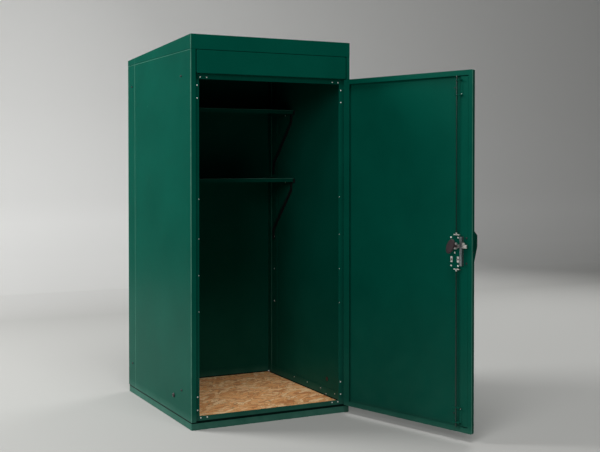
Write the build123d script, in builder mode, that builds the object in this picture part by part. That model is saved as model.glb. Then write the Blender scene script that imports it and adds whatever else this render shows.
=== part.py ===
from build123d import *
import math
import os

os.makedirs("parts", exist_ok=True)

# Metal tool shed, drawn in millimetres.
# Origin: middle of the base's underside, on the ground. +X is to the right as
# seen from the front, +Y runs to the back and +Z is up. The door pieces are
# drawn shut and then swung open about the hinge pins by door_open_angle.

# Overall sizes
width = 1006.0
depth = 1148.0
height = 2200.0
sheet = 1.2

# Base and floor
base_inset = 3.0
skirt_height = 42.0
skirt_corner = 4.0
skirt_foot = 22.0
rail_bend = 1.5
upstand_height = 90.0
sill_height = 71.5
bearer_height = 20.0
bearer_width = 70.0
bearer_inset = 90.0
bearer_count = 5
bearer_end_gap = 0.5
board_thickness = 18.0
board_gap = 1.0

# Walls
wall_lift = 2.5
corner_bend = 5.0
inner_bend = 2.0
edge_bend = 2.8
top_bend = 4.0
top_flange = 8.0
rear_wrap = 144.0

# Roof
fascia_height = 84.0
roof_fall = 49.0
roof_bend = 3.0

# Door frame
left_column_face = 31.0
right_column_face = 21.0
stop_depth = 25.0
stop_reach = 59.5
stop_return = 12.0
header_height = 132.0
header_gap = 2.5
header_corner = 7.0
lintel_height = 30.0
gusset_width = 34.0
gusset_upright = 126.0
gusset_across = 58.0
gusset_thickness = 2.0

# Door leaf
door_gap = 5.0
door_thickness = 20.0
door_bend = 3.0
door_corner = 6.0
door_open_angle = 106.8
top_lip = 28.0
bottom_lip = 28.0
hinge_lip = 46.0
free_lip = 28.0
stiffener_width = 52.0
stiffener_gap = 1.0
stiffener_end_gap = 5.0

# Hinges
hinge_from_door_end = 183.0
hinge_half = 30.0
hinge_offset = 0.5
knuckle_radius = 4.5
knuckle_gap = 0.5
hinge_pin_radius = 2.5
hinge_pin_length = 24.0
pin_clearance = 0.05
pin_end_gap = 2.0
leaf_thickness = 1.4
hinge_notch_gap = 1.0

# Lock
lock_height = 1043.0
lock_from_edge = 106.0
lock_case_from_edge = 112.0
lock_case_width = 60.0
lock_case_reach = 24.0
lock_case_below = 118.0
lock_case_above = 55.0
lock_case_edge = 2.0
collar_radius = 18.5
collar_height = 5.0
spindle_radius = 8.0
spindle_clearance = 0.1
spindle_end_gap = 0.5
knob_length = 84.0
knob_width = 47.0
knob_thickness = 12.0
knob_stand_off = 40.0
knob_edge = 4.0
knob_tilt = 25.0
lug_width = 13.0
lug_height = 32.0
lug_thickness = 4.0
lug_drop = 72.0
lug_from_edge = 110.0
lug_spread = 43.0
lug_hole = 2.6
rod_from_edge = 96.0
rod_radius = 4.0
rod_stop_gap = 2.0
rod_end_gap = 3.0
rod_foot_length = 10.0
rod_foot_width = 38.0
rod_foot_height = 6.0
rod_foot_gap = 3.0
rod_socket_radius = 5.0
rod_socket_height = 8.0
guide_height = 82.0
guide_from_door_end = 92.0
guide_plate = 2.0
guide_plate_width = 16.0
guide_arm = 2.5
guide_rim = 5.0
guide_heel = 13.0
guide_toe = 17.0
guide_clearance = 0.25
bolt_height = 19.0
bolt_thickness = 6.0
bolt_length = 59.0
bolt_step_height = 20.0
bolt_step_length = 14.0
bolt_step_gap = 1.0
bolt_clearance = 0.3
bolt_channel_width = 14.0
bolt_channel_wall = 2.0
bolt_channel_length = 156.0
bolt_channel_drop = 26.0
bolt_channel_inset = 18.0
bolt_channel_gap = 2.0
bolt_window_gap = 6.0

# Outside of the door
pull_from_edge = 37.5
pull_width = 22.0
pull_top = 1123.0
pull_height = 191.0
pull_reach = 61.0
pull_shoulder = 35.0
pull_grip = 20.0
pull_grip_drop = 23.0
pull_grip_height = 60.0
pull_gap_drop = 25.0
pull_upper_foot = 49.0
pull_lower_foot = 36.0
pull_bend = 8.0
pull_edge = 2.5
rose_radius = 25.0
rose_thickness = 6.0
cylinder_radius = 12.0
cylinder_reach = 12.0

# Shelves
shelf_depth = 397.0
upper_shelf_drop = 147.0
shelf_spacing = 448.0
shelf_lip = 25.0
shelf_bend = 2.0
strut_width = 24.0
strut_thickness = 5.0
strut_front = 42.0
strut_drop = 83.0
strut_fall = 280.0
strut_back = 90.0
strut_foot = 60.0
strut_bend = 20.0
strut_hook_reach = 22.0
strut_hook_rise = 19.0
strut_hook_seat = 6.0

# Cable entry plugs
plug_radius = 13.0
plug_bore = 9.0
plug_clearance = 0.3
plug_head = 3.0
plug_from_front = 282.0
plug_height = 145.0

# Places that follow from the sizes above
half_width = width / 2
front = -depth / 2
back = depth / 2
base_half = half_width - base_inset
base_front = front + base_inset
base_back = back - base_inset
wall_inner = half_width - sheet
wall_bottom = skirt_height + wall_lift
wall_top = height - fascia_height
panel_margin = corner_bend + 1
stop_front = front + stop_depth
stop_back = stop_front + sheet
rear_rail_front = -stop_back
header_bottom = wall_top - header_height
header_top = wall_top - header_gap
upper_shelf_top = header_bottom - upper_shelf_drop
lower_shelf_top = upper_shelf_top - shelf_spacing
left_opening = -half_width + stop_reach
right_opening = half_width - stop_reach
left_return = -half_width + left_column_face
right_return = half_width - right_column_face
lintel_bottom = header_bottom - lintel_height
rear_inner = back - sheet
wrap_start = back - rear_wrap
upstand_inner = base_half - sheet
board_top = bearer_height + board_thickness

door_left = left_return + door_gap
door_right = right_return - door_gap
door_bottom = skirt_height + door_gap
door_top = header_bottom - door_gap
door_middle_x = (door_left + door_right) / 2
door_middle_z = (door_bottom + door_top) / 2
door_width = door_right - door_left
door_height = door_top - door_bottom
door_inner = front + door_thickness
skin_inner = front + sheet
window_left = door_left + free_lip
window_right = door_right - hinge_lip
window_bottom = door_bottom + bottom_lip
window_top = door_top - top_lip
stiffener_left = window_left + stiffener_gap
stiffener_right = stiffener_left + stiffener_width

hinge_heights = (
    door_bottom + hinge_from_door_end,
    door_middle_z,
    door_top - hinge_from_door_end,
)
hinge_x = door_right + hinge_offset
hinge_y = front - hinge_offset
hinge_axis = Axis((hinge_x, hinge_y, 0), (0, 0, 1))
frame_leaf_back = stop_front - inner_bend - 0.5
door_leaf_back = door_inner - inner_bend

lock_x = door_left + lock_from_edge
lock_case_x = door_left + lock_case_from_edge
lock_face = front + lock_case_reach
lock_case_top = lock_height + lock_case_above
lock_case_bottom = lock_height - lock_case_below
lug_x = door_left + lug_from_edge
knob_back = lock_face + knob_stand_off
rod_x = door_left + rod_from_edge
rod_y = stop_back + rod_stop_gap + rod_radius
upper_rod_top = lintel_bottom - rod_end_gap
upper_rod_bottom = lock_case_top + rod_foot_gap
lower_rod_bottom = sill_height + rod_end_gap
lower_rod_top = lock_case_bottom - rod_foot_gap
guide_levels = (door_top - guide_from_door_end, door_bottom + guide_from_door_end)
guide_reach = rod_y + rod_radius + guide_rim
bolt_tip = left_opening + rod_end_gap
bolt_bottom = lock_height - bolt_height / 2
bolt_window_bottom = bolt_bottom - bolt_window_gap
bolt_window_height = bolt_height / 2 + bolt_step_height + 2 * bolt_window_gap
bolt_channel_x = stiffener_right - bolt_channel_inset
bolt_channel_back = rod_y + bolt_thickness / 2 + bolt_channel_gap + bolt_channel_wall
bolt_step_right = bolt_channel_x - bolt_channel_width / 2 - bolt_step_gap
pull_x = door_left + pull_from_edge
pull_bottom = pull_top - pull_height
pull_grip_top = pull_top - pull_grip_drop
pull_grip_bottom = pull_grip_top - pull_grip_height

roof_slope = math.atan2(roof_fall, depth)
roof_seat = Plane(
    origin=(0, front, height - sheet / math.cos(roof_slope)),
    x_dir=(1, 0, 0),
    z_dir=(0, math.sin(roof_slope), math.cos(roof_slope)),
)


def write(piece, label):
    piece.part.label = label
    export_step(piece.part, f"parts/{label}.step")


def write_open(piece, label):
    # a door piece, swung from shut to the angle that the door stands at
    swung = piece.part.rotate(hinge_axis, door_open_angle)
    swung.label = label
    export_step(swung, f"parts/{label}.step")


# Front sill: skirt, ledge, foot and the flange that the shut door stands in front of
with BuildPart() as front_sill:
    with BuildSketch():
        Rectangle(2 * base_half, 2 * base_back)
        fillet(vertices(), skirt_corner)
        offset(amount=-sheet, mode=Mode.SUBTRACT)
        with Locations((0, (base_front + stop_back) / 2)):
            Rectangle(2 * base_half, stop_back - base_front, mode=Mode.INTERSECT)
    extrude(amount=skirt_height)
    with BuildSketch():
        with Locations((0, base_front + sheet / 2 + skirt_foot / 2)):
            Rectangle(2 * (base_half - skirt_corner), skirt_foot - sheet)
    extrude(amount=sheet)
    with BuildSketch(Plane.XY.offset(skirt_height - sheet)):
        Rectangle(2 * base_half, 2 * base_back)
        fillet(vertices(), skirt_corner)
        with Locations((0, (base_front + stop_back) / 2)):
            Rectangle(2 * base_half, stop_back - base_front, mode=Mode.INTERSECT)
    extrude(amount=sheet)
    with BuildSketch(Plane.XY.offset(skirt_height)):
        with Locations((0, (stop_front + stop_back) / 2)):
            Rectangle(right_opening - left_opening, sheet)
    extrude(amount=sill_height - skirt_height)
write(front_sill, "front_sill")

# Side base rails: one folded strip each, with the wall bolted to its upstand
with BuildPart() as left_base_rail:
    with BuildSketch(Plane.XZ.offset(-rear_rail_front)):
        with BuildLine():
            FilletPolyline(
                (-base_half + skirt_foot, 0),
                (-base_half, 0),
                (-base_half, upstand_height),
                radius=rail_bend,
            )
            offset(amount=sheet, side=Side.RIGHT)
        make_face()
    extrude(amount=rear_rail_front - stop_back)
write(left_base_rail, "left_base_rail")

with BuildPart() as right_base_rail:
    mirror(left_base_rail.part, about=Plane.YZ)
write(right_base_rail, "right_base_rail")

# Rear base rail
with BuildPart() as rear_base_rail:
    with BuildSketch():
        Rectangle(2 * base_half, 2 * base_back)
        fillet(vertices(), skirt_corner)
        offset(amount=-sheet, mode=Mode.SUBTRACT)
        with Locations((0, (base_back + rear_rail_front) / 2)):
            Rectangle(2 * base_half, base_back - rear_rail_front, mode=Mode.INTERSECT)
    extrude(amount=skirt_height)
    with BuildSketch():
        with Locations((0, base_back - sheet / 2 - skirt_foot / 2)):
            Rectangle(2 * (base_half - skirt_corner), skirt_foot - sheet)
    extrude(amount=sheet)
    with BuildSketch(Plane.XY.offset(skirt_height)):
        with Locations((0, base_back - sheet / 2)):
            Rectangle(2 * (base_half - skirt_corner), sheet)
    extrude(amount=upstand_height - skirt_height)
write(rear_base_rail, "rear_base_rail")

# Floor bearers, on the ground between the feet of the side rails
with BuildPart() as floor_bearers:
    bearer_pitch = (depth - 2 * bearer_inset) / (bearer_count - 1)
    with BuildSketch():
        with GridLocations(0, bearer_pitch, 1, bearer_count):
            Rectangle(2 * (base_half - skirt_foot - bearer_end_gap), bearer_width)
    extrude(amount=bearer_height)
write(floor_bearers, "floor_bearers")

# Floor board
with BuildPart() as floor_board:
    board_front = stop_back + board_gap
    board_back = base_back - sheet - board_gap
    with BuildSketch(Plane.XY.offset(bearer_height)):
        with Locations((0, (board_front + board_back) / 2)):
            Rectangle(2 * (upstand_inner - board_gap), board_back - board_front)
    extrude(amount=board_thickness)
write(floor_board, "floor_board")

# Left wall: one sheet, folded round the front corner into the door post
with BuildPart() as left_wall:
    with BuildSketch(Plane.XY.offset(wall_bottom)):
        with BuildLine():
            FilletPolyline(
                (-half_width, front + panel_margin),
                (-half_width, front),
                (left_return, front),
                (left_return, stop_front),
                (left_opening, stop_front),
                (left_opening, stop_front + stop_return),
                radius=(corner_bend, inner_bend, inner_bend, inner_bend),
            )
            offset(amount=sheet, side=Side.LEFT)
        make_face()
        with BuildLine():
            FilletPolyline(
                (-half_width, wrap_start - panel_margin),
                (-half_width, wrap_start),
                (-base_half, wrap_start),
                radius=edge_bend,
            )
            offset(amount=sheet, side=Side.RIGHT)
        make_face()
    extrude(amount=wall_top - wall_bottom)
    # flat of the wall, turned in along its lower and upper edges
    with BuildSketch(Plane.XZ.offset(panel_margin - wrap_start)):
        with BuildLine():
            FilletPolyline(
                (-base_half, wall_bottom),
                (-half_width, wall_bottom),
                (-half_width, wall_top),
                (-half_width + top_flange, wall_top),
                radius=(edge_bend, top_bend),
            )
            offset(amount=sheet, side=Side.RIGHT)
        make_face()
    extrude(amount=wrap_start - front - 2 * panel_margin)
    # the return stops short at both gussets and at the side bolt
    with BuildSketch(Plane.XY.offset(wall_bottom)):
        with Locations((left_opening - inner_bend, stop_back + stop_return / 2)):
            Rectangle(2 * inner_bend + 1, stop_return)
    extrude(amount=sill_height + gusset_upright - wall_bottom, mode=Mode.SUBTRACT)
    with BuildSketch(Plane.XY.offset(lintel_bottom - gusset_upright)):
        with Locations((left_opening - inner_bend, stop_back + stop_return / 2)):
            Rectangle(2 * inner_bend + 1, stop_return)
    extrude(amount=height - lintel_bottom + gusset_upright, mode=Mode.SUBTRACT)
    with BuildSketch(Plane.XY.offset(bolt_window_bottom)):
        with Locations((left_opening - inner_bend, stop_back + stop_return / 2)):
            Rectangle(2 * inner_bend + 1, stop_return)
    extrude(amount=bolt_window_height, mode=Mode.SUBTRACT)
    # hole for the cable entry plug
    with BuildSketch(Plane.YZ.offset(-half_width - 1)):
        with Locations((front + plug_from_front, plug_height)):
            Circle(plug_bore)
    extrude(amount=sheet + 2, mode=Mode.SUBTRACT)
write(left_wall, "left_wall")

# Right wall, whose door post has the narrower face of the hinge side
with BuildPart() as right_wall:
    with BuildSketch(Plane.XY.offset(wall_bottom)):
        with BuildLine():
            FilletPolyline(
                (half_width, front + panel_margin),
                (half_width, front),
                (right_return, front),
                (right_return, stop_front),
                (right_opening, stop_front),
                (right_opening, stop_front + stop_return),
                radius=(corner_bend, inner_bend, inner_bend, inner_bend),
            )
            offset(amount=sheet, side=Side.RIGHT)
        make_face()
        with BuildLine():
            FilletPolyline(
                (half_width, wrap_start - panel_margin),
                (half_width, wrap_start),
                (base_half, wrap_start),
                radius=edge_bend,
            )
            offset(amount=sheet, side=Side.LEFT)
        make_face()
    extrude(amount=wall_top - wall_bottom)
    with BuildSketch(Plane.XZ.offset(panel_margin - wrap_start)):
        with BuildLine():
            FilletPolyline(
                (base_half, wall_bottom),
                (half_width, wall_bottom),
                (half_width, wall_top),
                (half_width - top_flange, wall_top),
                radius=(edge_bend, top_bend),
            )
            offset(amount=sheet, side=Side.LEFT)
        make_face()
    extrude(amount=wrap_start - front - 2 * panel_margin)
    with BuildSketch(Plane.XY.offset(wall_bottom)):
        with Locations((right_opening + inner_bend, stop_back + stop_return / 2)):
            Rectangle(2 * inner_bend + 1, stop_return)
    extrude(amount=sill_height + gusset_upright - wall_bottom, mode=Mode.SUBTRACT)
    with BuildSketch(Plane.XY.offset(lintel_bottom - gusset_upright)):
        with Locations((right_opening + inner_bend, stop_back + stop_return / 2)):
            Rectangle(2 * inner_bend + 1, stop_return)
    extrude(amount=height - lintel_bottom + gusset_upright, mode=Mode.SUBTRACT)
    with BuildSketch(Plane.YZ.offset(wall_inner - 1)):
        with Locations((front + plug_from_front, plug_height)):
            Circle(plug_bore)
    extrude(amount=sheet + 2, mode=Mode.SUBTRACT)
write(right_wall, "right_wall")

# Rear wall, folded round both rear corners up to the seams in the sides
with BuildPart() as rear_wall:
    for side, inward in ((-1, Side.RIGHT), (1, Side.LEFT)):
        with BuildSketch(Plane.XY.offset(wall_bottom)):
            with BuildLine():
                FilletPolyline(
                    (side * base_half, wrap_start),
                    (side * half_width, wrap_start),
                    (side * half_width, wrap_start + panel_margin),
                    radius=edge_bend,
                )
                offset(amount=sheet, side=inward)
            make_face()
            with BuildLine():
                FilletPolyline(
                    (side * half_width, back - panel_margin),
                    (side * half_width, back),
                    (side * (half_width - panel_margin), back),
                    radius=corner_bend,
                )
                offset(amount=sheet, side=inward)
            make_face()
        extrude(amount=wall_top - wall_bottom)
        with BuildSketch(Plane.XZ.offset(panel_margin - back)):
            with BuildLine():
                FilletPolyline(
                    (side * base_half, wall_bottom),
                    (side * half_width, wall_bottom),
                    (side * half_width, wall_top),
                    (side * (half_width - top_flange), wall_top),
                    radius=(edge_bend, top_bend),
                )
                offset(amount=sheet, side=inward)
            make_face()
        extrude(amount=rear_wrap - 2 * panel_margin)
    with BuildSketch(Plane.YZ.offset(panel_margin - half_width)):
        with BuildLine():
            FilletPolyline(
                (base_back, wall_bottom),
                (back, wall_bottom),
                (back, wall_top),
                (back - top_flange, wall_top),
                radius=(edge_bend, top_bend),
            )
            offset(amount=sheet, side=Side.LEFT)
        make_face()
    extrude(amount=2 * (half_width - panel_margin))
write(rear_wall, "rear_wall")

# Space under the roof sheet, inside its fascia
with BuildPart() as roof_hollow:
    with BuildSketch(Plane.XY.offset(wall_top + sheet)):
        Rectangle(width - 2 * sheet, depth - 2 * sheet)
        fillet(vertices(), roof_bend - sheet)
    extrude(amount=fascia_height)
    split(bisect_by=roof_seat, keep=Keep.BOTTOM)
    fillet(faces().sort_by(Axis.Z)[-1].edges(), inner_bend - sheet)
    fillet(faces().sort_by(Axis.Z)[0].edges(), inner_bend - sheet)

# Roof cap: a sloping sheet with a folded fascia, resting on the flanges of the walls
with BuildPart() as roof_cap:
    with BuildSketch(Plane.YZ):
        with BuildLine():
            Polyline(
                (front, wall_top),
                (back, wall_top),
                (back, height - roof_fall),
                (front, height),
                close=True,
            )
        make_face()
    extrude(amount=half_width, both=True)
    fillet(edges().filter_by(Axis.Z), roof_bend)
    fillet(faces().sort_by(Axis.Z)[-1].edges(), inner_bend)
    fillet(faces().sort_by(Axis.Z)[0].edges(), inner_bend)
    add(roof_hollow.part, mode=Mode.SUBTRACT)
    with BuildSketch(Plane.XY.offset(wall_top)):
        Rectangle(width - 2 * top_flange, depth - 2 * top_flange)
    extrude(amount=sheet, mode=Mode.SUBTRACT)
write(roof_cap, "roof_cap")

# Lintel plate behind the header, reaching below it as the upper door stop
with BuildPart() as lintel:
    with BuildSketch(Plane.XZ.offset(-stop_back)):
        with Locations((0, (lintel_bottom + height) / 2)):
            Rectangle(right_opening - left_opening, height - lintel_bottom)
    extrude(amount=sheet)
    split(bisect_by=roof_seat, keep=Keep.BOTTOM)
write(lintel, "lintel")

# Header panel: a shallow pan over the door, flush with the shut door
with BuildPart() as header_panel:
    with BuildSketch(Plane.XZ.offset(-stop_front)):
        with Locations((door_middle_x, (header_bottom + header_top) / 2)):
            Rectangle(door_width, header_top - header_bottom)
        fillet(vertices(), header_corner)
    extrude(amount=stop_depth)
    fillet(faces().sort_by(Axis.Y)[0].edges(), door_bend)
    offset(amount=-sheet, openings=faces().sort_by(Axis.Y)[-1])
write(header_panel, "header_panel")

# Gussets that tie the posts to the lintel and to the sill
with BuildPart() as corner_gussets:
    for side in (-1, 1):
        with BuildSketch(Plane.XZ.offset(-stop_back - gusset_thickness)):
            with BuildLine():
                Polyline(
                    (side * (right_opening + gusset_width), lintel_bottom - gusset_upright),
                    (side * right_opening, lintel_bottom - gusset_upright),
                    (side * right_opening, lintel_bottom),
                    (side * (right_opening - gusset_across), lintel_bottom),
                    (side * (right_opening - gusset_across), lintel_bottom + gusset_width),
                    (side * (right_opening + gusset_width), lintel_bottom + gusset_width),
                    close=True,
                )
            make_face()
            with BuildLine():
                Polyline(
                    (side * (right_opening + gusset_width), sill_height + gusset_upright),
                    (side * right_opening, sill_height + gusset_upright),
                    (side * right_opening, sill_height),
                    (side * (right_opening - gusset_across), sill_height),
                    (side * (right_opening - gusset_across), skirt_height),
                    (side * (right_opening + gusset_width), skirt_height),
                    close=True,
                )
            make_face()
        extrude(amount=gusset_thickness)
write(corner_gussets, "corner_gussets")

# Shelves: pans with the rim folded down, against the rear and side walls
for shelf_name, shelf_top in (("upper_shelf", upper_shelf_top), ("lower_shelf", lower_shelf_top)):
    with BuildPart() as shelf:
        with BuildSketch(Plane.XY.offset(shelf_top - shelf_lip)):
            with Locations((0, rear_inner - shelf_depth / 2)):
                Rectangle(2 * base_half, shelf_depth)
        extrude(amount=shelf_lip)
        fillet(edges().filter_by(Axis.Z).group_by(Axis.Y)[-1], corner_bend)
        fillet(faces().sort_by(Axis.Z)[-1].edges().sort_by(Axis.Y)[0], shelf_bend)
        offset(amount=-sheet, openings=faces().sort_by(Axis.Z)[0])
    write(shelf, shelf_name)

# Shelf struts, one against each side wall under each shelf, hooked round its front rim
with BuildPart() as shelf_struts:
    for shelf_top in (upper_shelf_top, lower_shelf_top):
        rim_front = rear_inner - shelf_depth
        rim_bottom = shelf_top - shelf_lip
        strut_high_y = rim_front + strut_front
        strut_low_y = rear_inner - strut_back
        strut_high_z = shelf_top - strut_drop
        strut_low_z = strut_high_z - strut_fall
        for wall_side in (-base_half, base_half - strut_thickness):
            with BuildSketch(Plane.YZ.offset(wall_side)):
                with BuildLine():
                    Polyline(
                        (rim_front, rim_bottom),
                        (rim_front, rim_bottom + strut_hook_rise),
                        (rim_front - strut_hook_reach, rim_bottom + strut_hook_rise),
                        (rim_front - strut_hook_reach, rim_bottom - strut_hook_seat),
                        (strut_high_y - strut_width, rim_bottom - strut_hook_seat),
                        (strut_high_y - strut_width, strut_high_z),
                        (strut_low_y - strut_width / 2, strut_low_z),
                        (strut_low_y - strut_width / 2, strut_low_z - strut_foot),
                        (strut_low_y + strut_width / 2, strut_low_z - strut_foot),
                        (strut_low_y + strut_width / 2, strut_low_z + strut_width / 2),
                        (strut_high_y, strut_high_z + strut_width / 2),
                        (strut_high_y, rim_bottom),
                        close=True,
                    )
                make_face()
                strut_corners = vertices().filter_by(
                    lambda v: strut_low_z - 1 < v.Y < strut_high_z + strut_width / 2 + 1
                )
                fillet(strut_corners, strut_bend)
            extrude(amount=strut_thickness)
write(shelf_struts, "shelf_struts")

# Cable entry plugs
with BuildPart() as cable_plugs:
    for plug_start, plug_end in (
        (-half_width - plug_head, -wall_inner + plug_head),
        (wall_inner - plug_head, half_width + plug_head),
    ):
        with BuildSketch(Plane.YZ.offset(plug_start)):
            with Locations((front + plug_from_front, plug_height)):
                Circle(plug_radius)
        extrude(amount=plug_head)
        with BuildSketch(Plane.YZ.offset(plug_start + plug_head)):
            with Locations((front + plug_from_front, plug_height)):
                Circle(plug_bore - plug_clearance)
        extrude(amount=sheet)
        with BuildSketch(Plane.YZ.offset(plug_end - plug_head)):
            with Locations((front + plug_from_front, plug_height)):
                Circle(plug_radius)
        extrude(amount=plug_head)
write(cable_plugs, "cable_plugs")

# Frame halves of the lift-off hinges: leaf, lower knuckle and pin
with BuildPart() as frame_hinges:
    for level in hinge_heights:
        with BuildSketch(Plane.XY.offset(level - hinge_half)):
            with Locations((hinge_x, hinge_y)):
                Circle(knuckle_radius)
            with Locations((right_return - leaf_thickness / 2, (hinge_y + frame_leaf_back) / 2)):
                Rectangle(leaf_thickness, frame_leaf_back - hinge_y)
        extrude(amount=hinge_half - knuckle_gap / 2)
        with BuildSketch(Plane.XY.offset(level - knuckle_gap / 2)):
            with Locations((hinge_x, hinge_y)):
                Circle(hinge_pin_radius)
        extrude(amount=hinge_pin_length)
write(frame_hinges, "frame_hinges")

# Door halves of the hinges: leaf and upper knuckle
with BuildPart() as door_hinges:
    for level in hinge_heights:
        with BuildSketch(Plane.XY.offset(level + knuckle_gap / 2)):
            with Locations((hinge_x, hinge_y)):
                Circle(knuckle_radius)
            with Locations((door_right + leaf_thickness / 2, (hinge_y + door_leaf_back) / 2)):
                Rectangle(leaf_thickness, door_leaf_back - hinge_y)
        extrude(amount=hinge_half - knuckle_gap / 2)
        with BuildSketch(Plane.XY.offset(level + knuckle_gap / 2)):
            with Locations((hinge_x, hinge_y)):
                Circle(hinge_pin_radius + pin_clearance)
        extrude(amount=hinge_pin_length - knuckle_gap + pin_end_gap, mode=Mode.SUBTRACT)
write_open(door_hinges, "door_hinges")

# Space inside the door's pan
with BuildPart() as door_hollow:
    with BuildSketch(Plane.XZ.offset(-door_inner)):
        with Locations((door_middle_x, door_middle_z)):
            Rectangle(door_width - 2 * sheet, door_height - 2 * sheet)
        fillet(vertices(), door_corner - sheet)
    extrude(amount=door_thickness - sheet)
    fillet(faces().sort_by(Axis.Y)[0].edges(), door_bend - sheet)

# Door leaf: a pan with its rim folded in again as lips
with BuildPart() as door_leaf:
    with BuildSketch(Plane.XZ.offset(-door_inner)):
        with Locations((door_middle_x, door_middle_z)):
            Rectangle(door_width, door_height)
        fillet(vertices(), door_corner)
    extrude(amount=door_thickness)
    fillet(faces().sort_by(Axis.Y)[0].edges(), door_bend)
    add(door_hollow.part, mode=Mode.SUBTRACT)
    with BuildSketch(Plane.XZ.offset(-door_inner)):
        with Locations((door_middle_x, door_middle_z)):
            Rectangle(door_width, door_height)
        fillet(vertices(), door_corner)
        with Locations(((window_left + window_right) / 2, (window_bottom + window_top) / 2)):
            Rectangle(window_right - window_left, window_top - window_bottom, mode=Mode.SUBTRACT)
    extrude(amount=sheet)
    # room for the hinge knuckles
    for level in hinge_heights:
        with BuildSketch(Plane.XY.offset(level - hinge_half - hinge_notch_gap)):
            with Locations((hinge_x, hinge_y)):
                Circle(knuckle_radius + hinge_notch_gap)
        extrude(amount=2 * (hinge_half + hinge_notch_gap), mode=Mode.SUBTRACT)
write_open(door_leaf, "door_leaf")

# Stiffener down the lock side of the door
with BuildPart() as door_stiffener:
    with BuildSketch(Plane.XY.offset(window_bottom + stiffener_end_gap)):
        with BuildLine():
            FilletPolyline(
                (stiffener_left, skin_inner),
                (stiffener_left, door_inner),
                (stiffener_right, door_inner),
                (stiffener_right, skin_inner),
                radius=inner_bend,
            )
            offset(amount=sheet, side=Side.RIGHT)
        make_face()
    extrude(amount=window_top - window_bottom - 2 * stiffener_end_gap)
write_open(door_stiffener, "door_stiffener")

# Lock case
with BuildPart() as lock_case:
    with BuildSketch(Plane.XZ.offset(-lock_face)):
        with Locations((lock_case_x, (lock_case_top + lock_case_bottom) / 2)):
            Rectangle(lock_case_width, lock_case_top - lock_case_bottom)
        fillet(vertices(), lock_case_edge)
    extrude(amount=lock_face - skin_inner)
    fillet(faces().sort_by(Axis.Y)[-1].edges(), lock_case_edge / 2)
write_open(lock_case, "lock_case")

# Two drilled lugs on the lock case
with BuildPart() as lock_lugs:
    with BuildSketch(Plane.XZ.offset(-lock_face - lug_thickness)):
        with Locations((lug_x, lock_height - lug_drop)):
            with GridLocations(lug_spread, 0, 2, 1):
                Rectangle(lug_width, lug_height)
        fillet(vertices(), lock_case_edge)
        with Locations((lug_x, lock_height - lug_drop)):
            with GridLocations(lug_spread, 0, 2, 1):
                Circle(lug_hole, mode=Mode.SUBTRACT)
    extrude(amount=lug_thickness)
write_open(lock_lugs, "lock_lugs")

# Collar that the knob's spindle turns in
with BuildPart() as lock_collar:
    with BuildSketch(Plane.XZ.offset(-lock_face - collar_height)):
        with Locations((lock_x, lock_height)):
            Circle(collar_radius)
            Circle(spindle_radius + spindle_clearance, mode=Mode.SUBTRACT)
    extrude(amount=collar_height)
write_open(lock_collar, "lock_collar")

# Knob: an oval grip on its spindle
with BuildPart() as lock_knob:
    with BuildSketch(Plane.XZ.offset(-knob_back - knob_thickness)):
        with Locations(Location((lock_x, lock_height), 90 + knob_tilt)):
            Ellipse(knob_length / 2, knob_width / 2)
    extrude(amount=knob_thickness)
    fillet(edges().filter_by(GeomType.ELLIPSE), knob_edge)
    with BuildSketch(Plane.XZ.offset(-knob_back)):
        with Locations((lock_x, lock_height)):
            Circle(spindle_radius)
    extrude(amount=knob_stand_off - spindle_end_gap)
write_open(lock_knob, "lock_knob")

# Upper and lower lock rods
with BuildPart() as upper_rod:
    with BuildSketch(Plane.XY.offset(upper_rod_bottom + rod_foot_height + rod_socket_height)):
        with Locations((rod_x, rod_y)):
            Circle(rod_radius)
    extrude(amount=upper_rod_top - upper_rod_bottom - rod_foot_height - rod_socket_height)
write_open(upper_rod, "upper_rod")

with BuildPart() as lower_rod:
    with BuildSketch(Plane.XY.offset(lower_rod_bottom)):
        with Locations((rod_x, rod_y)):
            Circle(rod_radius)
    extrude(amount=lower_rod_top - rod_foot_height - rod_socket_height - lower_rod_bottom)
write_open(lower_rod, "lower_rod")

# Feet of the rods: a crossbar over the end of the lock case and a socket for the rod
with BuildPart() as upper_rod_foot:
    with BuildSketch(Plane.XY.offset(upper_rod_bottom)):
        with Locations((rod_x, rod_y - rod_foot_length / 2)):
            Rectangle(rod_foot_width, rod_foot_length)
        with Locations((rod_x, rod_y)):
            Circle(rod_socket_radius)
    extrude(amount=rod_foot_height)
    with BuildSketch(Plane.XY.offset(upper_rod_bottom + rod_foot_height)):
        with Locations((rod_x, rod_y)):
            Circle(rod_socket_radius)
    extrude(amount=rod_socket_height)
write_open(upper_rod_foot, "upper_rod_foot")

with BuildPart() as lower_rod_foot:
    with BuildSketch(Plane.XY.offset(lower_rod_top - rod_foot_height)):
        with Locations((rod_x, rod_y - rod_foot_length / 2)):
            Rectangle(rod_foot_width, rod_foot_length)
        with Locations((rod_x, rod_y)):
            Circle(rod_socket_radius)
    extrude(amount=rod_foot_height)
    with BuildSketch(Plane.XY.offset(lower_rod_top - rod_foot_height - rod_socket_height)):
        with Locations((rod_x, rod_y)):
            Circle(rod_socket_radius)
    extrude(amount=rod_socket_height)
write_open(lower_rod_foot, "lower_rod_foot")

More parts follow.
